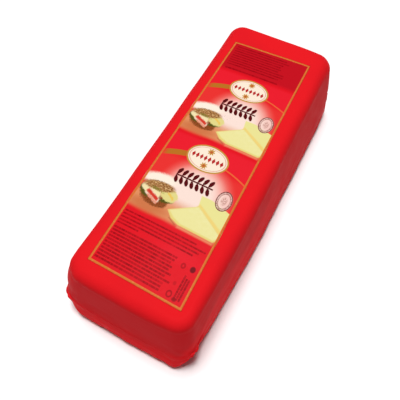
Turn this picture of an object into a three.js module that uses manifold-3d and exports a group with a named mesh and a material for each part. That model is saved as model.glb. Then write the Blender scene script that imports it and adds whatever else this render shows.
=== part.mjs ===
// A loaf of semi-hard cheese, vacuum packed in a tight plastic film with a printed label on its top.
// Millimetres, +Z up. The loaf lies along Y, centred over the origin, with its underside on z = 0.

import * as THREE from 'three';
import { mergeVertices } from 'three/addons/utils/BufferGeometryUtils.js';
import Module from 'manifold-3d';

// Outside of the wrapped loaf. Length and width are taken at the base, before the walls bow out.
const LENGTH = 300;
const WIDTH = 111;
const EDGE_HEIGHT = 78.5;
const CROWN = 1.5;
const TOP_RADIUS = 11;
const BASE_RADIUS = 8;
const CORNER_RADIUS = 13.5;

// Lean of the walls: how far the top edge stands inside the base, on each side and at each end.
const SIDE_TAPER = 6.5;
const END_TAPER = 8;

// The near end is drawn back above a fuller foot, from FOOT.from to FOOT.to in height.
const NEAR_DRAW = 2.4;
const NEAR_REACH = { from: 112, to: 144 };
const FOOT = { from: 4, to: 42 };

// Outward bow of the walls, largest at the middle of a wall.
const SIDE_BOW = { base: 3.2, top: 0 };
const END_BOW = { base: 2, top: 0.7 };
const BARREL = 0.7;

// The film, the clearance to the cheese inside it, and the open lap seam along its underside.
const FILM_THICKNESS = 0.6;
const CLEARANCE = 0.3;
const SEAM_WIDTH = 0.6;
const SEAM_LENGTH = 180;

// Crumpled ends of the film's cross seal, which stand out as rounded lobes beside the two near corners.
const EAR_HEIGHT = 24;
const EAR_THICKNESS = 1;
const EAR_LOBE_RADIUS = 4.5;
const EAR_LOBES = [
  new THREE.Vector2(-54.8, -139.6),
  new THREE.Vector2(-52.4, -143.1),
  new THREE.Vector2(53.3, -134.3),
  new THREE.Vector2(52.7, -139.3),
];

// Corners of the label, seen from above. The film has drawn it slightly out of square.
const LABEL_THICKNESS = 0.2;
const LABEL_FAR_LEFT = new THREE.Vector2(-36.6, 115.2);
const LABEL_FAR_RIGHT = new THREE.Vector2(35.2, 118.4);
const LABEL_NEAR_LEFT = new THREE.Vector2(-37.3, -124.9);
const LABEL_NEAR_RIGHT = new THREE.Vector2(40.3, -127.4);

// Fineness of the meshes.
const CORNER_STEPS = 5;
const SIDE_STEPS = 10;
const END_STEPS = 4;
const BASE_EDGE_STEPS = 4;
const WALL_STEPS = 6;
const TOP_EDGE_STEPS = 5;
const TOP_CAP_STEPS = 3;
const LABEL_STEPS = { x: 6, y: 12 };

const { lerp, smoothstep } = THREE.MathUtils;
const wasm = await Module();
wasm.setup();

// The loaf's soft form: walls that lean in towards the top and bow outward, a near end drawn back above
// its foot, and a crowned top.
function soften(x, y, z) {
  const across = (2 * x) / WIDTH;
  const along = (2 * y) / LENGTH;
  const rise = z / EDGE_HEIGHT;
  const barrel = BARREL * 4 * rise * (1 - rise);
  const sideBow = lerp(SIDE_BOW.base, SIDE_BOW.top, rise) * (1 - along ** 2);
  const endBow = lerp(END_BOW.base, END_BOW.top, rise) * (1 - across ** 2);
  const nearness = smoothstep(-y, NEAR_REACH.from, NEAR_REACH.to);
  const drawnBack = NEAR_DRAW * nearness * smoothstep(z, FOOT.from, FOOT.to);
  return new THREE.Vector3(
    x + across * (barrel + sideBow - SIDE_TAPER * rise),
    y + along * (barrel + endBow - END_TAPER * rise) + drawnBack,
    z + CROWN * rise * (1 - across ** 2) * (1 - along ** 2),
  );
}

// A point of the crowned top at plan position (x, y), raised by lift.
function onTop(x, y, lift) {
  const untaperedX = x / (1 - (2 * SIDE_TAPER) / WIDTH);
  const untaperedY = y / (1 - (2 * END_TAPER) / LENGTH);
  const { z } = soften(untaperedX, untaperedY, EDGE_HEIGHT);
  return new THREE.Vector3(x, y, z + lift);
}

// Points once around a rectangle with rounded corners, anticlockwise from the +X side.
function outline(halfWidth, halfLength, radius) {
  const centres = [[1, 1], [-1, 1], [-1, -1], [1, -1]];
  const arcs = centres.map(([sideX, sideY], corner) => new THREE.EllipseCurve(
    sideX * (halfWidth - radius),
    sideY * (halfLength - radius),
    radius,
    radius,
    (corner * Math.PI) / 2,
    ((corner + 1) * Math.PI) / 2,
  ).getPoints(CORNER_STEPS));
  return arcs.flatMap((arc, corner) => {
    const next = arcs[(corner + 1) % arcs.length];
    const steps = corner % 2 ? SIDE_STEPS : END_STEPS;
    const straight = new THREE.LineCurve(arc.at(-1), next[0]).getPoints(steps);
    return [...arc, ...straight.slice(1, -1)];
  });
}

// Levels of a block drawn in on all sides by inset: height, edge rounding and scale towards the middle.
function levels(inset) {
  const base = BASE_RADIUS - inset;
  const top = TOP_RADIUS - inset;
  const topHeight = EDGE_HEIGHT - inset;
  const list = [];
  for (let i = 0; i <= BASE_EDGE_STEPS; i += 1) {
    const angle = (i / BASE_EDGE_STEPS) * (Math.PI / 2);
    const z = inset + base * (1 - Math.cos(angle));
    list.push({ z, rounding: base * (1 - Math.sin(angle)), scale: 1 });
  }
  for (let i = 1; i < WALL_STEPS; i += 1) {
    const z = lerp(BASE_RADIUS, EDGE_HEIGHT - TOP_RADIUS, i / WALL_STEPS);
    list.push({ z, rounding: 0, scale: 1 });
  }
  for (let i = 0; i <= TOP_EDGE_STEPS; i += 1) {
    const angle = (i / TOP_EDGE_STEPS) * (Math.PI / 2);
    const z = topHeight - top * (1 - Math.sin(angle));
    list.push({ z, rounding: top * (1 - Math.cos(angle)), scale: 1 });
  }
  for (let i = 1; i < TOP_CAP_STEPS; i += 1) {
    list.push({ z: topHeight, rounding: top, scale: 1 - i / TOP_CAP_STEPS });
  }
  return list;
}

// Joins rings of points, from the base up, and closes both ends on a middle point.
function loft(rings, baseMiddle, topMiddle) {
  const count = rings[0].length;
  const points = [...rings.flat(), baseMiddle, topMiddle];
  const baseIndex = points.length - 2;
  const topIndex = points.length - 1;
  const lastRing = (rings.length - 1) * count;
  const triangles = [];
  for (let i = 0; i < count; i += 1) {
    const next = (i + 1) % count;
    triangles.push(baseIndex, next, i, topIndex, lastRing + i, lastRing + next);
    for (let ring = 0; ring < lastRing; ring += count) {
      const [a, b] = [ring + i, ring + next];
      triangles.push(a, b, b + count, a, b + count, a + count);
    }
  }
  return new THREE.BufferGeometry().setFromPoints(points).setIndex(triangles);
}

// The whole soft block, drawn in on all sides by inset.
function blockGeometry(inset) {
  const rings = levels(inset).map(({ z, rounding, scale }) => {
    const drawnIn = inset + rounding;
    const cornerRadius = CORNER_RADIUS - 0.6 * drawnIn;
    const ring = outline(WIDTH / 2 - drawnIn, LENGTH / 2 - drawnIn, cornerRadius);
    return ring.map(({ x, y }) => soften(x * scale, y * scale, z));
  });
  return loft(rings, soften(0, 0, inset), soften(0, 0, EDGE_HEIGHT - inset));
}

// Geometry to and from the solids that are joined and cut.
function toSolid(geometry) {
  const bare = geometry.clone().deleteAttribute('normal').deleteAttribute('uv');
  const { attributes, index } = mergeVertices(bare);
  const vertProperties = new Float32Array(attributes.position.array);
  const triVerts = new Uint32Array(index.array);
  return new wasm.Manifold(new wasm.Mesh({ numProp: 3, vertProperties, triVerts }));
}

function toGeometry(solid) {
  const { vertProperties, triVerts } = solid.getMesh();
  const geometry = new THREE.BufferGeometry();
  geometry.setAttribute('position', new THREE.BufferAttribute(vertProperties, 3));
  geometry.setIndex(new THREE.BufferAttribute(triVerts, 1));
  return geometry;
}

// One rounded lobe of the cross seal's ears.
function earLobe({ x, y }) {
  const lobe = new THREE.CylinderGeometry(EAR_LOBE_RADIUS, EAR_LOBE_RADIUS, EAR_THICKNESS, 20);
  lobe.rotateX(Math.PI / 2);
  lobe.translate(x, y, EAR_HEIGHT);
  return toSolid(lobe);
}

// The film: a thin shell over the whole block, with the seal's ears, open along its lap seam.
function filmGeometry() {
  const outside = EAR_LOBES.map(earLobe).reduce(
    (solid, lobe) => solid.add(lobe),
    toSolid(blockGeometry(0)),
  );
  const hollow = toSolid(blockGeometry(FILM_THICKNESS));
  const seam = toSolid(new THREE.BoxGeometry(SEAM_WIDTH, SEAM_LENGTH, 3 * FILM_THICKNESS));
  return toGeometry(outside.subtract(hollow).subtract(seam));
}

// The label: a thin four-sided sheet that follows the crown of the top.
function labelGeometry() {
  const sheet = new THREE.BoxGeometry(1, 1, 1, LABEL_STEPS.x, LABEL_STEPS.y, 1);
  const { position } = sheet.attributes;
  for (let i = 0; i < position.count; i += 1) {
    const right = position.getX(i) + 0.5;
    const far = position.getY(i) + 0.5;
    const raised = position.getZ(i) > 0;
    const farEdge = LABEL_FAR_LEFT.clone().lerp(LABEL_FAR_RIGHT, right);
    const plan = LABEL_NEAR_LEFT.clone().lerp(LABEL_NEAR_RIGHT, right).lerp(farEdge, far);
    const lift = CLEARANCE + (raised ? LABEL_THICKNESS : 0);
    position.setXYZ(i, ...onTop(plan.x, plan.y, lift));
  }
  return toGeometry(toSolid(sheet));
}

function piece(name, geometry, color, roughness) {
  const material = new THREE.MeshStandardMaterial({ color, roughness, metalness: 0 });
  const mesh = new THREE.Mesh(geometry, material);
  mesh.name = name;
  return mesh;
}

const cheeseLoaf = new THREE.Group();
cheeseLoaf.add(
  piece('cheese_block', blockGeometry(FILM_THICKNESS + CLEARANCE), 0xf0d070, 0.6),
  piece('film_wrap', filmGeometry(), 0xe31b23, 0.35),
  piece('label_sheet', labelGeometry(), 0xd01428, 0.4),
);

export default cheeseLoaf;
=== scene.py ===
"""A loaf of cheese in tight red film, with the film's welded seals and a printed label."""

import math

import bpy
import numpy as np
from mathutils import Matrix, Vector, noise
from mathutils.bvhtree import BVHTree


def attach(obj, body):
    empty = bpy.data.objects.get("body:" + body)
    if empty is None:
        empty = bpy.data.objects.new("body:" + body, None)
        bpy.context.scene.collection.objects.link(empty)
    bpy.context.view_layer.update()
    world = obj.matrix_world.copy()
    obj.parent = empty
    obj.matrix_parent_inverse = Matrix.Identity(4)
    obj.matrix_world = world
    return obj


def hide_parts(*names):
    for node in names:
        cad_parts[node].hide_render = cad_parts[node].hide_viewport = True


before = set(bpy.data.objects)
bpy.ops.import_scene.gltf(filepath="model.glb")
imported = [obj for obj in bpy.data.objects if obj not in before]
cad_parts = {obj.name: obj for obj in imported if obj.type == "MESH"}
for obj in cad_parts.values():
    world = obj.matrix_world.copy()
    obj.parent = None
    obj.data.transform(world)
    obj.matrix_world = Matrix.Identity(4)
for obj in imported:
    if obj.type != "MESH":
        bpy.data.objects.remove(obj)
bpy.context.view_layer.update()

MM = 0.001

# The wrapped loaf, in millimetres, as the CAD has it.
LENGTH = 300
WIDTH = 111
EDGE_HEIGHT = 78.5
CROWN = 1.5
TOP_RADIUS = 11
BASE_RADIUS = 8
CORNER_RADIUS = 13.5
SIDE_TAPER = 6.5
END_TAPER = 8
SIDE_BOW = (3.2, 0)
END_BOW = (2, 0.7)
BARREL = 0.7
# The near end is drawn back above a fuller foot.
NEAR_DRAW = 2.4
NEAR_REACH = (112, 144)
FOOT = (4, 42)
# The share of an inset that the corner radius loses.
CORNER_DRAW = 0.6

# Steps over the block's parts at a fineness of 1.
EDGE_STEPS, CAP_STEPS, WALL_STEPS = 8, 30, 54
CORNER_STEPS, SIDE_STEPS, END_STEPS = 20, 120, 44


# --- Form ---------------------------------------------------------------------------------------


def lerp(a, b, t):
    return a + (b - a) * t


def share_between(values, low, high):
    """0 up to low, 1 from high on, with a smooth change between."""
    share = np.clip((values - low) / (high - low), 0, 1)
    return share * share * (3 - 2 * share)


def soften(points):
    """The loaf's soft form: leaning, bowed walls, a near end drawn back and a crowned top."""
    x, y, z = points[..., 0], points[..., 1], points[..., 2]
    across, along, rise = 2 * x / WIDTH, 2 * y / LENGTH, z / EDGE_HEIGHT
    barrel = BARREL * 4 * rise * (1 - rise)
    side_bow = lerp(*SIDE_BOW, rise) * (1 - along**2)
    end_bow = lerp(*END_BOW, rise) * (1 - across**2)
    drawn_back = NEAR_DRAW * share_between(-y, *NEAR_REACH) * share_between(z, *FOOT)
    return np.stack(
        [
            x + across * (barrel + side_bow - SIDE_TAPER * rise),
            y + along * (barrel + end_bow - END_TAPER * rise) + drawn_back,
            z + CROWN * rise * (1 - across**2) * (1 - along**2),
        ],
        axis=-1,
    )


def outline(half_width, half_length, radius, corner_steps, side_steps, end_steps):
    """Points once around a rectangle with rounded corners, anticlockwise from the +X side."""
    turn = np.linspace(0, np.pi / 2, corner_steps + 1)
    arcs = []
    for corner, (side_x, side_y) in enumerate([(1, 1), (-1, 1), (-1, -1), (1, -1)]):
        angle = turn + corner * np.pi / 2
        centre = np.array([side_x * (half_width - radius), side_y * (half_length - radius)])
        arcs.append(centre + radius * np.stack([np.cos(angle), np.sin(angle)], axis=-1))
    points = []
    for corner, arc in enumerate(arcs):
        steps = side_steps if corner % 2 else end_steps
        share = np.linspace(0, 1, steps + 1)[1:-1, None]
        points += [arc, lerp(arc[-1], arcs[(corner + 1) % 4][0], share)]
    return np.concatenate(points)


def block_rings(inset, fineness):
    """Rings of points over the soft block, drawn in on all sides by inset, from the base up."""
    base, top = BASE_RADIUS - inset, TOP_RADIUS - inset
    edge = np.linspace(0, np.pi / 2, 2 + round(EDGE_STEPS * fineness))
    caps = np.linspace(0, 1, 3 + round(CAP_STEPS * fineness))[1:-1]
    walls = np.linspace(0, 1, 3 + round(WALL_STEPS * fineness))[1:-1]
    levels = [(inset, base, scale) for scale in caps]
    levels += [(inset + base * (1 - math.cos(a)), base * (1 - math.sin(a)), 1) for a in edge]
    levels += [(lerp(BASE_RADIUS, EDGE_HEIGHT - TOP_RADIUS, share), 0, 1) for share in walls]
    levels += [
        (EDGE_HEIGHT - inset - top * (1 - math.sin(a)), top * (1 - math.cos(a)), 1) for a in edge
    ]
    levels += [(EDGE_HEIGHT - inset, top, scale) for scale in caps[::-1]]
    rings = []
    for z, rounding, scale in levels:
        drawn_in = inset + rounding
        ring = outline(
            WIDTH / 2 - drawn_in,
            LENGTH / 2 - drawn_in,
            CORNER_RADIUS - CORNER_DRAW * drawn_in,
            corner_steps=round(3 + CORNER_STEPS * fineness),
            side_steps=round(6 + SIDE_STEPS * fineness),
            end_steps=round(4 + END_STEPS * fineness),
        )
        rings.append(soften(np.column_stack([ring * scale, np.full(len(ring), z)])))
    return np.array(rings)


def loft_faces(ring_count, ring_size):
    """Quads between neighbouring rings, and a fan at each end to a middle point after them."""
    base, top = ring_count * ring_size, ring_count * ring_size + 1
    last = (ring_count - 1) * ring_size
    faces = []
    for i in range(ring_size):
        j = (i + 1) % ring_size
        faces += [(base, j, i), (top, last + i, last + j)]
        faces += [
            (k + i, k + j, k + j + ring_size, k + i + ring_size)
            for k in range(0, last, ring_size)
        ]
    return faces


def block_mesh(name, inset, fineness):
    """The whole soft block as a closed mesh, drawn in on all sides by inset."""
    rings = block_rings(inset, fineness)
    ends = soften(np.array([[0, 0, inset], [0, 0, EDGE_HEIGHT - inset]], float))
    points = np.concatenate([rings.reshape(-1, 3), ends])
    return new_piece(name, points, loft_faces(*rings.shape[:2]))


def new_piece(name, points, faces):
    """A smooth-shaded mesh object from points in millimetres."""
    mesh = bpy.data.meshes.new(name)
    mesh.from_pydata((np.asarray(points) * MM).tolist(), [], faces)
    mesh.update()
    for polygon in mesh.polygons:
        polygon.use_smooth = True
    piece = bpy.data.objects.new(name, mesh)
    bpy.context.scene.collection.objects.link(piece)
    return piece


def read_points(mesh):
    points = np.empty(len(mesh.vertices) * 3, np.float32)
    mesh.vertices.foreach_get("co", points)
    return points.reshape(-1, 3).astype(float) / MM


def read_normals(mesh):
    normals = np.empty(len(mesh.vertices) * 3, np.float32)
    mesh.vertex_normals.foreach_get("vector", normals)
    return normals.reshape(-1, 3).astype(float)


def write_points(mesh, points):
    mesh.vertices.foreach_set("co", (points * MM).astype(np.float32).ravel())
    mesh.update()


# How far apart in the noise two neighbouring seeds are.
SEED_STEP = (7.3, 3.1, 5.7)


def soft_noise(points, size, seed):
    """Smooth noise from -1 to 1 at each point, with lumps of about size millimetres."""
    offset = Vector([seed * step for step in SEED_STEP])
    return np.array([noise.noise(Vector(p) / size + offset) for p in points])


def wander(places, pace, seed, layer):
    """Smooth noise from -1 to 1 along a line, one value for each place."""
    return np.array([noise.noise(Vector((p * pace, seed, layer))) for p in places])


# --- Pieces -------------------------------------------------------------------------------------

# Where the film is gathered at the near corners, at the two ends of the cross seal.
GATHERS = ((-57, -141, 25), (57, -138, 24))
# Lobes of the cross seal's ears: place along the seal from its right end, reach and width.
EAR_LOBES = ((11.8, 1.4, 2.6), (17.9, 1.7, 2.6), (134.8, 1.2, 3.0), (140.3, 1.3, 3.0))
# The loaf's own unevenness: centre, reach and shift of each place where it is fuller or drawn in.
UNEVEN = (
    ((-56, -140, 44), (13, 24, 28), (-4.2, -0.6, 0)),
    ((-49, -142, 78), (11, 12, 13), (2.2, 2.0, -1.2)),
    ((-60, -142, 21), (10, 10, 13), (-3.5, 0, 0)),
    ((-58, -136, 12), (14, 20, 12), (-3.6, 1.5, 0)),
    ((54, -138, 2), (16, 22, 14), (-3.3, 0.5, 0)),
    ((57, -95, 2), (12, 45, 22), (-1.4, 0, 0)),
    ((-30, -150, 2), (30, 12, 20), (0, 1.1, 0)),
    ((45, -150, 2), (9, 12, 12), (0, -1.5, 0)),
    ((57, 120, 20), (14, 50, 40), (1.2, 0, 0)),
    ((50, 140, 76), (22, 30, 26), (-0.2, -0.9, 0)),
    ((-30, 150, 74), (40, 14, 22), (-0.4, -1.3, 0)),
    ((-50, 70, 74), (12, 110, 20), (1.2, 0, -0.3)),
    ((50, -60, 74), (20, 90, 30), (2.3, 0, 0)),
    ((46, -142, 70), (18, 12, 22), (-0.6, 1.3, 0)),
)
# How much further the near end is drawn back on its left than on its right, per millimetre across.
SKEW = 0.016

# The welded strips: the weld's place across them, their ribs, and the points along and across them.
WELD_PLACE = 0.1
RIB_COUNT = 4
SEAL_COLUMNS, CROSS_SEAL_COLUMNS, SEAL_ROWS = 220, 420, 13
# Where the cross seal starts from before it is laid on the film, in front of the near end.
NEAR_END = 151

# How far the film stands off the loaf, in millimetres: along its top edges, in its broad hollows,
# in the puckers low on its walls, and in the folds and creases at its corners.
NEAR_EDGE, RIGHT_EDGE, NEAR_RIGHT_RIM = 1.7, 1.6, 1.3
BROAD_HOLLOWS, SMALL_HOLLOWS = 0.30, 0.10
WALL_PUCKERS, END_PUCKERS = 0.32, 0.28
NEAR_FOLDS, FAR_FOLDS = 0.5, 0.3
GATHER_BULGE, GATHER_CREASES = 0.5, 0.7
# Folds in a full turn around a corner.
FOLD_COUNT = 9
# The film settles on the base over this height, and the middle of its underside is raised a little.
SETTLING_HEIGHT = 5
UNDERSIDE_HOLLOW = 0.7


def uneven(points):
    """The loaf with its own unevenness, its near end drawn back a little further on the left."""
    moved = points.copy()
    for centre, reach, shift in UNEVEN:
        share = np.exp(-(((points - centre) / reach) ** 2).sum(axis=1))
        moved += share[:, None] * shift
    skew = share_between(-points[:, 1], *NEAR_REACH) * share_between(points[:, 2], *FOOT)
    moved[:, 1] -= SKEW * points[:, 0] * skew
    return moved


def edge_band(upward, power):
    """0 on the walls and on top and 1 between them, nearer to the top for a higher power."""
    peak = power**power / (power + 1) ** (power + 1)
    return upward ** (2 * power) * (1 - upward**2) * (upward > 0) / peak


def edge_lift(points, upward):
    """The fuller top edges at the near end and on the right."""
    near = share_between(-points[:, 1], 60, 140)
    right = share_between(points[:, 0], 20, 45)
    short_of_far_end = share_between(-points[:, 1], -140, -90)
    edges = np.maximum(NEAR_EDGE * near, RIGHT_EDGE * right * short_of_far_end)
    return edges * edge_band(upward, 1) + NEAR_RIGHT_RIM * near * right * edge_band(upward, 2)


def puckers(points):
    """Small flat lumps low on the walls, and finer ones low on the two ends."""
    low = share_between(-points[:, 2], -55, -20)
    lowest = share_between(-points[:, 2], -34, -18)
    at_end = share_between(np.abs(points[:, 1]), 132, 144)
    lift = WALL_PUCKERS * low * soft_noise(points * (1, 1, 1.7), 12, 3)
    return lift + END_PUCKERS * at_end * lowest * soft_noise(points, 7.5, 4)


def near_folds(points):
    """Folds that run to the gathers at the near corners, which bulge and crease."""
    lift = np.zeros(len(points))
    for index, gather in enumerate(GATHERS):
        here = (points[:, 1] < -90) & (points[:, 0] * gather[0] > 0)
        x, y, z = (points - gather).T
        away = np.linalg.norm(points - gather, axis=1)
        turn = FOLD_COUNT * np.arctan2(z, np.hypot(x, y)) + 2.2 * soft_noise(points, 15, 5 + index)
        folds = np.cos(turn) * share_between(away, 2, 8)
        lift += here * NEAR_FOLDS * np.exp(-away / 16) * folds
        creases = 1 - 2.6 * np.abs(soft_noise(points * (1, 1, 0.8), 5.0, 9 + index))
        bulge = GATHER_BULGE + GATHER_CREASES * creases
        lift += here * bulge * np.exp(-((away / 8) ** 2))
    return lift


def far_folds(points):
    """Folds that run to the two far corners."""
    lift = np.zeros(len(points))
    for side in (-1, 1):
        away = np.hypot(points[:, 0] - side * 50, points[:, 1] - 142)
        turn = FOLD_COUNT * np.arctan2(points[:, 2] - 30, away * 0.7)
        turn += 2 * soft_noise(points, 16, 12 + side)
        lift += FAR_FOLDS * np.exp(-away / 18) * np.cos(turn)
    return lift


def film_lift(points, normals):
    """How far the film stands off the loaf, in millimetres."""
    upward = normals[:, 2]
    wall = share_between(-np.abs(upward), -0.6, -0.2)
    lift = edge_lift(points, upward)
    lift += BROAD_HOLLOWS * soft_noise(points, 52, 1) + SMALL_HOLLOWS * soft_noise(points, 17, 2)
    lift += wall * (puckers(points) + far_folds(points)) + near_folds(points)
    return lift * np.clip(points[:, 2] / SETTLING_HEIGHT, 0, 1)


def film_mesh():
    """The film's skin, which rests on the rim of its underside."""
    piece = block_mesh("film_skin", inset=0, fineness=1)
    points, normals = read_points(piece.data), read_normals(piece.data)
    moved = uneven(points) + normals * film_lift(points, normals)[:, None]
    middle = share_between(-np.abs(points[:, 0]), -46, -36)
    middle *= share_between(-np.abs(points[:, 1]), -140, -128)
    moved[:, 2] += UNDERSIDE_HOLLOW * middle * (points[:, 2] < 0.5)
    write_points(piece.data, moved)
    return piece


def thin_sheet(name, grid, thickness):
    """A closed thin sheet around a grid of points."""
    along_rows, along_columns = np.gradient(grid, axis=0), np.gradient(grid, axis=1)
    normals = np.cross(along_columns, along_rows)
    normals /= np.linalg.norm(normals, axis=-1, keepdims=True)
    rows, columns = grid.shape[:2]
    front = (grid + normals * thickness / 2).reshape(-1, 3)
    back = (grid - normals * thickness / 2).reshape(-1, 3)
    faces = []
    behind = rows * columns
    for row in range(rows - 1):
        for column in range(columns - 1):
            a = row * columns + column
            b = a + columns
            faces.append((a, a + 1, b + 1, b))
            faces.append((behind + a, behind + b, behind + b + 1, behind + a + 1))
    border = list(range(columns))
    border += [row * columns + columns - 1 for row in range(1, rows)]
    border += [(rows - 1) * columns + column for column in range(columns - 2, -1, -1)]
    border += [row * columns for row in range(rows - 2, 0, -1)]
    for a, b in zip(border, border[1:] + border[:1]):
        faces.append((b, a, behind + a, behind + b))
    return new_piece(name, np.concatenate([front, back]), faces)


def laid_on(tree, points, lifts):
    """Points moved to the nearest place on a surface and then off it by lifts."""
    laid = []
    for point, lift in zip(points, lifts):
        place, normal = tree.find_nearest(Vector(point * MM))[:2]
        laid.append(np.array(place) / MM + np.array(normal) * lift)
    return np.array(laid)


def weld_lift(across, thickness, ridge, ribs, gap):
    """How far a strip's middle stands off the film: a ridge along its weld, and fine ribs."""
    weld = ridge * np.exp(-(((across - WELD_PLACE) / WELD_PLACE) ** 2))
    return thickness / 2 + gap + weld + ribs * np.sin(2 * np.pi * RIB_COUNT * across)


def seal(tree, name, start, end, width, thickness, seed):
    """A welded strip that lies on the film from start to end, width across, its free edge wavy."""
    start, end, width = (np.array(v, float) for v in (start, end, width))
    share = np.linspace(0, 1, SEAL_COLUMNS)
    across = np.linspace(0, 1, SEAL_ROWS)[:, None]
    waver = wander(share, 5, seed, 0)[:, None]
    fringe = wander(share, 26, seed, 5)
    middle = lerp(start, end, share[:, None]) + waver * 0.12 * width
    grid = middle + across[:, :, None] * width * (1 + 0.07 * fringe[:, None])
    lifts = weld_lift(across, thickness, ridge=0.22, ribs=0.05, gap=0.05)
    lifts = lifts + 0.10 * np.abs(fringe) * across
    laid = laid_on(tree, grid.reshape(-1, 3), lifts.ravel()).reshape(grid.shape)
    return thin_sheet(name, laid, thickness)


def cross_seal(tree):
    """The bag's welded end, folded down over the near end, with ears where it turns the corners."""
    side, end, corner = 14.0, 42.5, 14.5
    fold_height, usual_width, tip_length = 26.5, 6.5, 9
    thickness = 0.16
    turn = corner * math.pi / 2
    length = 2 * (side + turn + end)
    place = np.linspace(0, length, CROSS_SEAL_COLUMNS)
    from_middle = np.abs(place - length / 2)
    angle = np.clip((from_middle - end) / corner, 0, math.pi / 2)
    x = np.minimum(from_middle, end) + corner * np.sin(angle)
    y = corner * (1 - np.cos(angle)) + np.maximum(from_middle - end - turn, 0) - NEAR_END
    x *= np.sign(length / 2 - place)

    # The strip is narrower at its tips and taller at the lobes of its ears.
    fringe = wander(place, 0.16, 9, 0)
    flare = np.zeros(len(place))
    for middle, reach, width in EAR_LOBES:
        flare += reach * np.exp(-(((place - middle) / width) ** 2))
    tip = np.clip(np.minimum(place, length - place) / tip_length, 0, 1) ** 0.6
    tall = (usual_width + 0.8 * fringe + 1.6 * flare) * (0.25 + 0.75 * tip)
    across = np.linspace(0, 1, SEAL_ROWS)[:, None]
    heights = fold_height + 1.2 * wander(place, 0.035, 4, 0) - (across - 0.25) * tall
    grid = np.stack(np.broadcast_arrays(x, y, heights), axis=-1)

    ruffles = 1 + 0.4 * wander(place, 0.55, 2, 7)
    lifts = weld_lift(across, thickness, ridge=0.08, ribs=0.03, gap=0.02)
    lifts = lifts + 0.06 * np.abs(fringe) * across
    lifts = lifts + flare * ruffles * np.sin(np.pi * across) ** 0.8
    laid = laid_on(tree, grid.reshape(-1, 3), lifts.ravel()).reshape(grid.shape)
    return thin_sheet("film_cross_seal", laid, thickness)


film = film_mesh()
film_tree = BVHTree.FromObject(film, bpy.context.evaluated_depsgraph_get())
film_pieces = [
    film,
    cross_seal(film_tree),
    seal(
        film_tree,
        "film_end_seal",
        start=(50, 149, 24),
        end=(-50, 149, 24),
        width=(0, 0, -5),
        thickness=0.22,
        seed=2,
    ),
    seal(
        film_tree,
        "film_back_seam",
        start=(-7, 132, -0.5),
        end=(-7, -132, -0.5),
        width=(13, 0, 0),
        thickness=0.15,
        seed=3,
    ),
]
cheese = block_mesh("cheese_body", inset=2.2, fineness=0.3)
write_points(cheese.data, uneven(read_points(cheese.data)))

# Corners of the label's frame line on the top, near left, near right, far left and far right, and
# the size that its print is drawn to between them.
FRAME_CORNERS = np.array([[-36.15, -123.74], [39.09, -126.25], [-35.42, 113.98], [33.97, 117.21]])
PRINT_SIZE = (75, 242)
LABEL_MARGIN = 1.1
LABEL_GAP = 0.12
LABEL_THICKNESS = 0.1
LABEL_COLUMNS, LABEL_ROWS = 60, 190
# A height above the loaf, in metres, from which the label's points drop onto the film.
DROP_HEIGHT = 0.2


def square_to_corners(corners):
    """The plane map from the unit square's corners to the given ones; it keeps lines straight."""
    rows, values = [], []
    for (u, v), (x, y) in zip([(0, 0), (1, 0), (0, 1), (1, 1)], corners):
        rows += [[u, v, 1, 0, 0, 0, -u * x, -v * x], [0, 0, 0, u, v, 1, -u * y, -v * y]]
        values += [x, y]
    return np.append(np.linalg.solve(rows, values), 1).reshape(3, 3)


def label_mesh():
    """The label's sheet on the film's top, with the place of each point in the print as its UV."""
    width, length = PRINT_SIZE
    to_top = square_to_corners(FRAME_CORNERS)
    across = np.linspace(-LABEL_MARGIN / width, 1 + LABEL_MARGIN / width, LABEL_COLUMNS)
    along = np.linspace(-LABEL_MARGIN / length, 1 + LABEL_MARGIN / length, LABEL_ROWS)
    grid = np.empty((LABEL_ROWS, LABEL_COLUMNS, 3))
    for row, v in enumerate(along):
        for column, u in enumerate(across):
            x, y, w = to_top @ (u, v, 1)
            x, y = x / w, y / w
            above = Vector((x * MM, y * MM, DROP_HEIGHT))
            hit = film_tree.ray_cast(above, Vector((0, 0, -1)))[0]
            grid[row, column] = (x, y, hit.z / MM + LABEL_GAP)
    piece = thin_sheet("label_print", grid, LABEL_THICKNESS)
    uv = piece.data.uv_layers.new(name="Print")
    for loop in piece.data.loops:
        row, column = divmod(loop.vertex_index % (LABEL_ROWS * LABEL_COLUMNS), LABEL_COLUMNS)
        uv.data[loop.index].uv = (across[column], along[row])
    return piece


label = label_mesh()


# --- Materials ----------------------------------------------------------------------------------


def linear(red, green, blue, strength=1.0):
    """An sRGB colour from 0 to 255 as a linear colour with alpha."""
    share = [c / 255 for c in (red, green, blue)]
    return (
        *[strength * (c / 12.92 if c <= 0.04045 else ((c + 0.055) / 1.055) ** 2.4) for c in share],
        1,
    )


def operator(operation, swapped=False):
    """A method that adds a Math node of two inputs to a field."""

    def apply(self, other):
        return self.math(operation, *((other, self) if swapped else (self, other)))

    return apply


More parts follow.
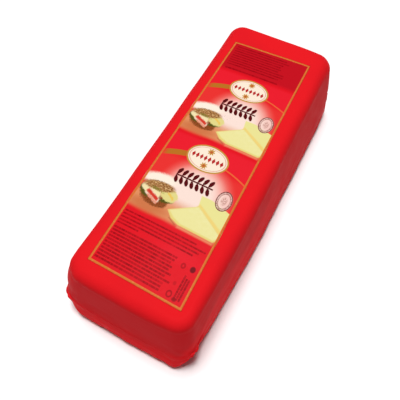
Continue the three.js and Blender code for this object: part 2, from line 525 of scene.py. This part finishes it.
class Field:
    """A number that varies over a surface: a node's output. Arithmetic on it adds Math nodes."""

    def __init__(self, socket):
        self.socket = socket
        self.tree = socket.id_data

    def math(self, operation, *values):
        node = self.tree.nodes.new("ShaderNodeMath")
        node.operation = operation
        for socket, value in zip(node.inputs, values):
            feed(self.tree, socket, value)
        return Field(node.outputs[0])

    __add__ = operator("ADD")
    __radd__ = operator("ADD", swapped=True)
    __sub__ = operator("SUBTRACT")
    __rsub__ = operator("SUBTRACT", swapped=True)
    __mul__ = operator("MULTIPLY")
    __rmul__ = operator("MULTIPLY", swapped=True)
    __truediv__ = operator("DIVIDE")
    __pow__ = operator("POWER")

    def __abs__(self):
        return self.math("ABSOLUTE", self)

    def floor(self):
        return self.math("FLOOR", self)

    def fraction(self):
        return self.math("FRACT", self)

    def at_least(self, other):
        return self.math("MAXIMUM", self, other)

    def above(self, other):
        return self.math("GREATER_THAN", self, other)

    def fade(self, start, end):
        """0 up to start, 1 from end on, and a smooth change between; start may be above end."""
        node = self.tree.nodes.new("ShaderNodeMapRange")
        node.interpolation_type = "SMOOTHSTEP"
        falls = start > end
        values = (self, min(start, end), max(start, end), float(falls), float(not falls))
        for socket, value in zip(node.inputs, values):
            feed(self.tree, socket, value)
        return Field(node.outputs[0])


def feed(tree, socket, value):
    """Links a field or socket to a socket, or sets a plain value on it."""
    if isinstance(value, Field):
        value = value.socket
    if isinstance(value, bpy.types.NodeSocket):
        tree.links.new(value, socket)
    else:
        socket.default_value = value


def new_material(name, **values):
    """A material with plain values on its shader's sockets."""
    material = bpy.data.materials.new(name)
    material.use_nodes = True
    shader = material.node_tree.nodes["Principled BSDF"]
    for socket, value in values.items():
        shader.inputs[socket.replace("_", " ")].default_value = value
    return material


def noise_field(tree, vector, scale, detail, roughness=0.5, distortion=0.0):
    """Noise around 0.5 with the given number of lumps per unit of the vector."""
    node = tree.nodes.new("ShaderNodeTexNoise")
    for socket, value in zip(
        ("Vector", "Scale", "Detail", "Roughness", "Distortion"),
        (vector, scale, detail, roughness, distortion),
    ):
        feed(tree, node.inputs[socket], value)
    return Field(node.outputs[0])


def join_vector(tree, x, y):
    node = tree.nodes.new("ShaderNodeCombineXYZ")
    for socket, value in zip(node.inputs, (x, y)):
        feed(tree, socket, value)
    return node.outputs[0]


def split_vector(tree, vector):
    node = tree.nodes.new("ShaderNodeSeparateXYZ")
    tree.links.new(vector, node.inputs[0])
    return [Field(output) for output in node.outputs]


class Layers:
    """Colours laid over each other, each through a mask."""

    def __init__(self, tree, base):
        self.tree = tree
        self.colour = base

    def lay(self, colour, mask):
        node = self.tree.nodes.new("ShaderNodeMix")
        node.data_type = "RGBA"
        for socket, value in zip((node.inputs[0], *node.inputs[6:8]), (mask, self.colour, colour)):
            feed(self.tree, socket, value)
        self.colour = node.outputs[2]


def distance(across, along):
    return (across * across + along * along) ** 0.5


def add_bump(material, height, depth, strength):
    tree = material.node_tree
    node = tree.nodes.new("ShaderNodeBump")
    node.inputs["Distance"].default_value = depth
    node.inputs["Strength"].default_value = strength
    feed(tree, node.inputs["Height"], height)
    tree.links.new(node.outputs[0], tree.nodes["Principled BSDF"].inputs["Normal"])


def object_place(tree):
    return tree.nodes.new("ShaderNodeTexCoord").outputs["Object"]


# --- Film and cheese ----------------------------------------------------------------------------

# The film's reds, linear: all over, in cloudy patches, in small flecks, a painted sheen high on the
# near end, and painted light low on the walls, towards their foot.
FILM_RED = (0.70, 0.0108, 0.0155, 1)
FILM_CLOUD = (0.63, 0.010, 0.016, 1)
FILM_FLECK = (0.77, 0.014, 0.019, 1)
FILM_NEAR_END_SHEEN = (0.70, 0.0175, 0.023, 1)
FILM_LOW_WALL_LIGHT = (0.88, 0.0155, 0.021, 1)


def make_film():
    """Glossy red film, with painted light low on its walls, a painted sheen on its near end, and
    fine creases.
    """
    material = new_material("film", IOR=1.03)
    tree = material.node_tree
    shader = tree.nodes["Principled BSDF"]
    place = object_place(tree)
    clouds = noise_field(tree, place, 28, detail=3)
    paint = Layers(tree, FILM_RED)
    paint.lay(FILM_CLOUD, clouds.fade(0.42, 0.75) * 0.6)
    flecks = noise_field(tree, place, 420, detail=2)
    paint.lay(FILM_FLECK, flecks.fade(0.62, 0.8) * 0.35)
    across, along, height = split_vector(tree, place)
    # Painted sheen: the near end of the film, below its top, is painted paler in green and blue.
    paint.lay(FILM_NEAR_END_SHEEN, height.fade(0.074, 0.062) * along.fade(-0.128, -0.142))
    # Painted light: the foot of the walls on the near half is painted lighter, with a mottled edge.
    mottle = noise_field(tree, place, 34, detail=2)
    wavy = height + (mottle - 0.5) * 0.03 - across.fade(0.044, 0.055) * 0.02
    low_wall_light = wavy.fade(0.034, 0.014) * along.fade(0.08, -0.05)
    paint.lay(FILM_LOW_WALL_LIGHT, low_wall_light * 0.85)
    feed(tree, shader.inputs["Base Color"], paint.colour)
    streaks = noise_field(tree, place, 95, detail=4, distortion=0.6)
    feed(tree, shader.inputs["Roughness"], streaks * 0.22 + 0.27)
    creases = noise_field(tree, place, 160, detail=5, roughness=0.6, distortion=0.8)
    add_bump(material, creases + flecks * 0.25, 0.0002, 0.5)
    return material


def make_cheese():
    """Pale yellow cheese with a fine grain."""
    material = new_material("cheese", Specular_IOR_Level=0.4)
    tree = material.node_tree
    shader = tree.nodes["Principled BSDF"]
    place = object_place(tree)
    clouds = noise_field(tree, place, 35, detail=3)
    paint = Layers(tree, linear(240, 208, 112))
    paint.lay(linear(250, 226, 150), clouds.fade(0.35, 0.7))
    grain = noise_field(tree, place, 700, detail=3)
    paint.lay(linear(226, 186, 88), grain.fade(0.6, 0.75) * 0.4)
    feed(tree, shader.inputs["Base Color"], paint.colour)
    feed(tree, shader.inputs["Roughness"], clouds * 0.2 + 0.4)
    add_bump(material, grain, 0.0003, 0.6)
    return material


# --- The label's print --------------------------------------------------------------------------


def ink(red, green, blue):
    """An sRGB colour from 0 to 255 as it prints, a little darker than on a screen."""
    return linear(red, green, blue, 0.83)


RED = ink(229, 20, 34)
BRIGHT_RED = ink(236, 30, 46)
DEEP_RED = ink(198, 18, 32)
DARK_INK = ink(150, 4, 16)
GOLD = ink(220, 116, 50)

# Places on the print, in millimetres: the bases of its two panels, and the centres of a panel's
# badge and stamp.
PANEL_BASES = (46.0, 125.5)
BADGE = (37.5, 64)
STAMP = (66, 36.5)
# How softly a plain shape ends.
SHARP = 0.2
# Fine print: how much of a row its end may lose, and the lengths of its letters and words.
RAGGED, LETTER, WORD = 0.14, 0.62, 4.3


class Print:
    """The label's print, in millimetres from the frame line's near left corner."""

    def __init__(self, tree):
        self.tree = tree
        uv = tree.nodes.new("ShaderNodeUVMap")
        uv.uv_map = "Print"
        scale = tree.nodes.new("ShaderNodeVectorMath")
        scale.operation = "MULTIPLY"
        scale.inputs[1].default_value = (*PRINT_SIZE, 0)
        tree.links.new(uv.outputs[0], scale.inputs[0])
        self.x, self.y, _ = split_vector(tree, scale.outputs[0])
        self.paint = Layers(tree, RED)

    def lay(self, colour, mask, strength=1.0):
        """Prints a colour through a mask."""
        self.paint.lay(colour, mask if strength == 1 else mask * strength)

    def ellipse(self, x, y, half_x, half_y, soft=0.25, tilt=0):
        """1 inside an ellipse; tilt is in degrees, anticlockwise."""
        share = soft / min(half_x, half_y)
        return self.reach(x, y, half_x, half_y, tilt).fade(1 + share, 1 - share)

    def reach(self, x, y, half_x, half_y, tilt=0):
        """The distance from a point, as a share of an ellipse's own reach."""
        across, along = self.turned(x, y, tilt)
        return distance(across / half_x, along / half_y)

    def turned(self, x, y, tilt):
        """The place across and along axes through a point, turned by tilt degrees."""
        across, along = self.x - x, self.y - y
        if not tilt:
            return across, along
        cosine, sine = math.cos(math.radians(tilt)), math.sin(math.radians(tilt))
        return across * cosine + along * sine, along * cosine - across * sine

    def box(self, x0, x1, y0, y1):
        """1 inside an upright rectangle."""
        across = abs(self.x - (x0 + x1) / 2) - (x1 - x0) / 2
        along = abs(self.y - (y0 + y1) / 2) - (y1 - y0) / 2
        return across.at_least(along).fade(SHARP, -SHARP)

    def polygon(self, *corners, soft):
        """1 inside a convex polygon whose corners go anticlockwise."""
        outside = None
        for (x0, y0), (x1, y1) in zip(corners, corners[1:] + corners[:1]):
            length = math.hypot(x1 - x0, y1 - y0)
            across, along = (y1 - y0) / length, (x1 - x0) / length
            beyond = self.x * across - self.y * along - (x0 * across - y0 * along)
            outside = beyond if outside is None else outside.at_least(beyond)
        return outside.fade(soft, -soft)

    def line(self, x0, y0, x1, y1, width, soft):
        """1 on a straight line of some width from one point to another."""
        length = math.hypot(x1 - x0, y1 - y0)
        tilt = math.degrees(math.atan2(y1 - y0, x1 - x0))
        across, along = self.turned((x0 + x1) / 2, (y0 + y1) / 2, tilt)
        beyond = (abs(across) - length / 2).at_least(abs(along) - width / 2)
        return beyond.fade(soft, -soft)

    def ring(self, x, y, half_x, half_y, width):
        """1 on an ellipse's outline."""
        off_line = abs(self.reach(x, y, half_x, half_y) - 1) * min(half_x, half_y)
        return off_line.fade(width / 2 + SHARP, width / 2 - SHARP)

    def greek(self, x0, x1, y0, pitch, count, height, seed, across=None, along=None):
        """Rows of plain dashes that stand for fine print; the rows differ in length.

        The rows run from x0 to x1, the first one at y0, unless other fields are given for across
        and along.
        """
        across = self.x if across is None else across
        along = self.y if along is None else along
        step = (along - (y0 - pitch / 2)) / pitch
        row = step.floor()
        key = row * 7.31 + seed
        ragged = self.chance(key) * (RAGGED * (x1 - x0))
        in_rows = step.above(0) * (count - step).above(0)
        in_row = (across - x0).above(0) * (x1 - ragged - across).above(0)
        half = 0.5 * height / pitch
        band = abs(step.fraction() - 0.5).fade(half + 0.08, half - 0.08)
        letters = self.chance((across / LETTER).floor() * 3.7 + key).fade(0.1, 0.25)
        words = self.chance((across / WORD).floor() * 1.9 + key * 2.3)
        gaps = abs((across / WORD).fraction() - words * 0.8).fade(0.02, 0.07)
        dashes = in_rows * in_row * band * (letters * 0.4 + 0.6)
        return dashes * (gaps * 0.5 + 0.5) * (words * 0.35 + 0.65)

    def chance(self, key):
        """A number from 0 to 1 that looks random, one for each key."""
        node = self.tree.nodes.new("ShaderNodeTexWhiteNoise")
        node.noise_dimensions = "1D"
        feed(self.tree, node.inputs["W"], key)
        return Field(node.outputs["Value"])


def print_panel(art):
    """One panel: filled bread and two slices of cheese on a board, under a plain badge."""
    x, y = art.x, art.y
    place = join_vector(art.tree, x, y)
    rough = noise_field(art.tree, place, 0.35, detail=4)
    fine = noise_field(art.tree, place, 1.1, detail=3)

    # The glow, the board and the red above the arc.
    art.lay(ink(240, 66, 58), y.fade(2, 14) * (1 - y.fade(52, 62)), 0.55)
    glow = art.reach(42, 32, 33, 32)
    art.lay(ink(246, 150, 138), glow.fade(1.02, 0.55), 0.85)
    art.lay(ink(252, 226, 214), glow.fade(0.85, 0.35))
    art.lay(ink(228, 150, 100), y.fade(1, 6) * (1 - y.fade(13, 25)) * (0.8 + rough * 0.3))
    art.lay(ink(205, 112, 66), art.ellipse(15, 7.5, 17, 5, soft=3) * 0.8)
    arc = distance(x - 37.5, y + 30.7) - 93.5
    art.lay(BRIGHT_RED, arc.fade(-1.5, 1.5) * (1 - y.fade(76, 80)))
    golden_part = (1 - x.fade(18, 23)) * x.fade(-1, 6)
    art.lay(ink(184, 116, 34), abs(arc).fade(2.9, 2.2) * golden_part, 0.95)
    art.lay(ink(238, 120, 60), abs(arc).fade(0.8, 0.4) * x.fade(52, 56), 0.7)

    # Two slices of cheese.
    upper = ((49, 33), (50.5, 24.5), (75.5, 11), (75.5, 28.8), (58, 33))
    art.lay(ink(236, 228, 150), art.polygon(*upper, soft=0.5))
    art.lay(ink(242, 210, 118), art.line(50.5, 24.8, 76, 11.2, 3.2, soft=0.9), 0.9)
    lower = (
        (31, 11.5), (36.5, 6.6), (44, 4), (72.6, 3.8), (74.6, 5.6), (75.5, 10.4), (51.5, 24.2)
    )
    art.lay(ink(232, 214, 126), art.polygon(*lower, soft=0.5))
    inner = (
        (32.5, 11.8), (38, 8.1), (45, 5.5), (72.4, 5.3), (75.5, 8.2), (75.5, 10), (51.5, 23.6)
    )
    face = art.polygon(*inner, soft=0.8)
    art.lay(ink(238, 230, 158), face)
    glint = (x * 0.5 + y).fade(28, 62) * rough.fade(0.35, 0.7)
    art.lay(ink(246, 240, 182), face * glint, 0.6)
    art.lay(ink(160, 84, 40), art.line(35, 6.4, 42, 3.0, 0.8, soft=0.6), 0.6)
    art.lay(ink(244, 176, 126), art.line(44, 2.6, 73, 2.4, 1.2, soft=1.2), 0.6)

    # Bread, salad, tomato and cheese, with uneven edges.
    warp = noise_field(art.tree, place, 0.28, detail=3)
    art.x = x + (warp - 0.5) * 4.5
    art.y = y + (fine - 0.5) * 2.5
    art.lay(ink(254, 240, 222), art.ellipse(13, 31.5, 15, 5.2, soft=1.6, tilt=8))
    lower_bun = art.ellipse(16.5, 14.5, 12, 5.6, soft=0.8, tilt=-6)
    art.lay(ink(150, 78, 36), lower_bun)
    art.lay(ink(88, 44, 22), lower_bun * fine.fade(0.5, 0.62), 0.7)
    art.lay(ink(92, 84, 26), art.ellipse(8, 18.5, 7.2, 4.6, soft=0.6, tilt=-24))
    art.lay(ink(244, 228, 176), art.ellipse(11.5, 20.2, 9.4, 4.4, soft=0.6, tilt=-14))
    art.lay(ink(86, 82, 22), art.ellipse(26.5, 16.6, 5.6, 1.7, soft=0.5, tilt=16))
    art.lay(ink(228, 216, 138), art.ellipse(26.5, 21.8, 7.2, 5.2, soft=0.6, tilt=-12))
    art.lay(ink(238, 196, 84), art.line(24.5, 24.4, 31, 19.4, 1.7, soft=0.5), 0.9)
    crust = art.ellipse(15.2, 25.8, 13, 4.2, soft=0.7, tilt=6)
    art.lay(ink(176, 124, 72), crust)
    flatter = join_vector(art.tree, x, y * 1.5)
    grain = noise_field(art.tree, flatter, 0.6, detail=4, roughness=0.7)
    art.lay(ink(104, 66, 34), crust * grain.fade(0.5, 0.6), 0.9)
    art.lay(ink(232, 196, 140), crust * grain.fade(0.46, 0.38), 0.85)
    salad = art.ellipse(15.5, 22.6, 5.5, 1.2, soft=0.5, tilt=-10)
    art.lay(ink(128, 126, 44), salad * fine.fade(0.35, 0.6))
    art.lay(ink(246, 214, 190), art.line(9, 18.6, 20.5, 13.4, 5.2, soft=0.6))
    art.lay(ink(214, 58, 40), art.line(8.5, 19.4, 19.8, 14.6, 2.8, soft=0.8))
    art.lay(ink(232, 128, 96), art.line(10.5, 15.6, 20.5, 11.6, 1.6, soft=0.5), 0.8)
    art.x, art.y = x, y

    # A plain oval badge with a row of diamonds between two flowers.
    art.lay(ink(198, 146, 62), art.ellipse(*BADGE, 18.2, 12.6))
    art.lay(ink(253, 236, 214), art.ellipse(*BADGE, 16.9, 11.3))
    art.lay(ink(214, 96, 70), art.ring(*BADGE, 15.7, 10.2, 0.45), 0.7)
    diamonds = abs(((x - 23.1) / 3.6).fraction() - 0.5) * 3.6 + abs(y - BADGE[1]) * 0.55
    art.lay(ink(186, 44, 44), diamonds.fade(1.65, 1.35) * art.box(23.1, 51.9, 60, 68))
    for flower_y in (71, 57):
        across, along = x - BADGE[0], y - flower_y
        turn = across.math("ARCTAN2", across, along) * 8
        petals = turn.math("COSINE", turn)
        shape = distance(across, along) - petals * 0.7
        art.lay(ink(202, 148, 60), shape.fade(2.7, 2.3))
        art.lay(ink(190, 60, 46), shape.fade(1.1, 0.8))

    # A dark sprig of leaves under the badge.
    off_stem = abs(y - 41)
    leaf_x = ((x - 21.6) / 4.65).fraction() * 4.65 - 1.6
    leaf_y = off_stem - 3.7
    leaf_across = leaf_x * 0.9 - leaf_y * 0.44
    leaf_along = leaf_x * 0.44 + leaf_y * 0.9
    leaf = (leaf_across * leaf_across / 2.5 + leaf_along * leaf_along / 11.5) ** 0.5
    sprig = leaf.fade(1.12, 0.92).at_least(off_stem.fade(0.75, 0.5))
    art.lay(ink(88, 8, 14), sprig * art.box(21.6, 54.1, 33, 49))

    # A round stamp.
    art.lay(ink(250, 226, 214), art.ellipse(*STAMP, 6.2, 8.4, soft=0.5), 0.75)
    art.lay(ink(112, 42, 38), art.ring(*STAMP, 6.0, 8.2, 0.6))
    art.lay(ink(150, 70, 60), art.ring(*STAMP, 4.4, 6.4, 0.4), 0.8)
    art.lay(ink(130, 52, 44), art.ring(*STAMP, 5.2, 7.3, 1.2) * fine.fade(0.44, 0.54), 0.7)
    middle = art.ellipse(*STAMP, 2.4, 3.4, soft=0.8)
    art.lay(ink(170, 100, 84), middle * fine.fade(0.4, 0.6), 0.7)


def make_label():
    """The whole label: two picture panels, fine print and a frame line on red."""
    material = new_material("label", IOR=1.1)
    tree = material.node_tree
    shader = tree.nodes["Principled BSDF"]
    art = Print(tree)
    x, y = art.x, art.y

    # The plain bands beyond the pictures.
    art.lay(DEEP_RED, y.fade(204, 210))
    art.lay(BRIGHT_RED, art.ellipse(56, 31, 17, 5, soft=4), 0.7)

    # Both pictures share one set of nodes: their height is measured from each one's own base.
    art.y = y - PANEL_BASES[0] - y.above(PANEL_BASES[1]) * (PANEL_BASES[1] - PANEL_BASES[0])
    plain = art.paint.colour
    print_panel(art)
    pictured = art.paint.colour
    art.paint.colour = plain
    art.y = y
    art.lay(pictured, y.fade(45.6, 47) * (1 - y.fade(204.5, 206.5)))

    # Fine print, as blocks of rows: from and to across, first row's place, pitch, number of rows,
    # height of the letters and seed. Then a block that runs along the label, and small symbols.
    blocks = (
        (2, 73, 35.2, 2.75, 4, 1.3, 3),
        (2, 22, 32.7, 2.4, 1, 1.2, 9),
        (2, 60, 3.9, 2.48, 11, 1.5, 5),
        (4, 60, 213.5, 3.0, 9, 1.4, 7),
        (5, 62, 208.2, 3.0, 1, 1.7, 8),
    )
    for block in blocks:
        art.lay(DARK_INK, art.greek(*block), 0.9)
    art.lay(DARK_INK, art.greek(3.5, 21, 67.4, 1.9, 3, 1.4, 4, across=y, along=x))
    art.lay(DARK_INK, art.ellipse(67.8, 3.4, 1.7, 1.3, soft=0.5), 0.9)
    art.lay(ink(104, 12, 22), art.ellipse(69.8, 26.5, 2.0, 2.2, soft=0.4), 0.9)
    art.lay(DARK_INK, art.ring(62.5, 26, 1.3, 1.5, 1.2), 0.6)
    art.lay(DARK_INK, art.ring(63, 5.2, 1.7, 2.0, 1.0), 0.75)
    art.lay(DARK_INK, art.ellipse(63, 13, 1.2, 1.4, soft=0.5), 0.4)

    # The frame line.
    across = abs(x - PRINT_SIZE[0] / 2) - PRINT_SIZE[0] / 2
    along = abs(y - PRINT_SIZE[1] / 2) - PRINT_SIZE[1] / 2
    frame_line = abs(across.at_least(along)).fade(1.0, 0.65)
    shimmer = noise_field(tree, join_vector(tree, x, y), 0.5, detail=3)
    art.lay(GOLD, frame_line)
    art.lay(ink(236, 150, 84), frame_line * shimmer.fade(0.5, 0.75), 0.6)

    feed(tree, shader.inputs["Base Color"], art.paint.colour)
    feed(tree, shader.inputs["Roughness"], shimmer * 0.18 + 0.3 - frame_line * 0.06)
    add_bump(material, shimmer + frame_line * 0.6, 0.0001, 0.5)
    return material


film_material = make_film()
for piece, material, node, slot in [
    *[(piece, film_material, "film_wrap", "film") for piece in film_pieces],
    (cheese, make_cheese(), "cheese_block", "cheese"),
    (label, make_label(), "label_sheet", "label"),
]:
    piece.data.materials.append(material)
    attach(piece, "root")
    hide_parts(node)


# --- Stage, lights and camera -------------------------------------------------------------------

FLOOR_RADIUS = 40
FLOOR_GLOW = 0.85
# Distances from the loaf between which the floor's glow takes over from the overhead light.
GLOW_REACH = (0.5, 3.0)
# The surround's strength as the camera sees it, above the little light that it gives.
SURROUND_SEEN, SURROUND_LIGHT = 0.8, 0.08

# The camera as fitted to the photograph: angles in degrees, places in metres, lens in millimetres.
AZIMUTH, ELEVATION, ROLL = 28.05, 61.17, 0.3
TARGET = (0.01138, -0.04533, 0.0785)
DISTANCE = 0.38595
LENS, SENSOR = 46.055, 36


def add_floor():
    """A plain pale floor that stays pale beyond the reach of the overhead light."""
    bpy.ops.mesh.primitive_circle_add(radius=FLOOR_RADIUS, vertices=96, fill_type="NGON")
    floor = bpy.context.object
    floor.name = "floor"
    material = new_material("floor", Base_Color=(0.95, 0.95, 0.95, 1), Roughness=0.9)
    tree = material.node_tree
    shader = tree.nodes["Principled BSDF"]
    x, y, _ = split_vector(tree, object_place(tree))
    shader.inputs["Emission Color"].default_value = (1, 1, 1, 1)
    feed(tree, shader.inputs["Emission Strength"], distance(x, y).fade(*GLOW_REACH) * FLOOR_GLOW)
    floor.data.materials.append(material)


def add_area_light(name, location, target, size, power):
    data = bpy.data.lights.new(name, "AREA")
    data.shape = "RECTANGLE"
    data.size, data.size_y = size
    data.energy = power
    light = bpy.data.objects.new(name, data)
    light.location = location
    light.rotation_mode = "QUATERNION"
    light.rotation_quaternion = (Vector(target) - Vector(location)).to_track_quat("-Z", "Y")
    bpy.context.scene.collection.objects.link(light)


def add_world():
    """A pale surround that gives only a little light, and leaves the rest to the overhead light."""
    world = bpy.data.worlds.new("studio")
    world.use_nodes = True
    tree = world.node_tree
    seen = tree.nodes.new("ShaderNodeLightPath").outputs["Is Camera Ray"]
    background = tree.nodes["Background"]
    background.inputs["Color"].default_value = (1, 1, 1, 1)
    feed(tree, background.inputs["Strength"], Field(seen) * SURROUND_SEEN + SURROUND_LIGHT)
    bpy.context.scene.world = world


def add_camera():
    """The photograph's view of the loaf, from above its near end."""
    azimuth, elevation, roll = (math.radians(a) for a in (AZIMUTH, ELEVATION, ROLL))
    back = Vector(
        (
            math.sin(azimuth) * math.cos(elevation),
            -math.cos(azimuth) * math.cos(elevation),
            math.sin(elevation),
        )
    )
    data = bpy.data.cameras.new("camera")
    data.sensor_width = SENSOR
    data.lens = LENS
    camera = bpy.data.objects.new("camera", data)
    turn = (-back).to_track_quat("-Z", "Y").to_matrix() @ Matrix.Rotation(-roll, 3, "Z")
    camera.matrix_world = Matrix.Translation(Vector(TARGET) + back * DISTANCE) @ turn.to_4x4()
    bpy.context.scene.collection.objects.link(camera)
    bpy.context.scene.camera = camera


add_floor()
add_area_light("overhead", (-0.2, 0.15, 3.0), target=(0, 0, 0), size=(0.9, 0.9), power=101)
add_world()
bpy.context.scene.view_settings.view_transform = "Standard"
add_camera()
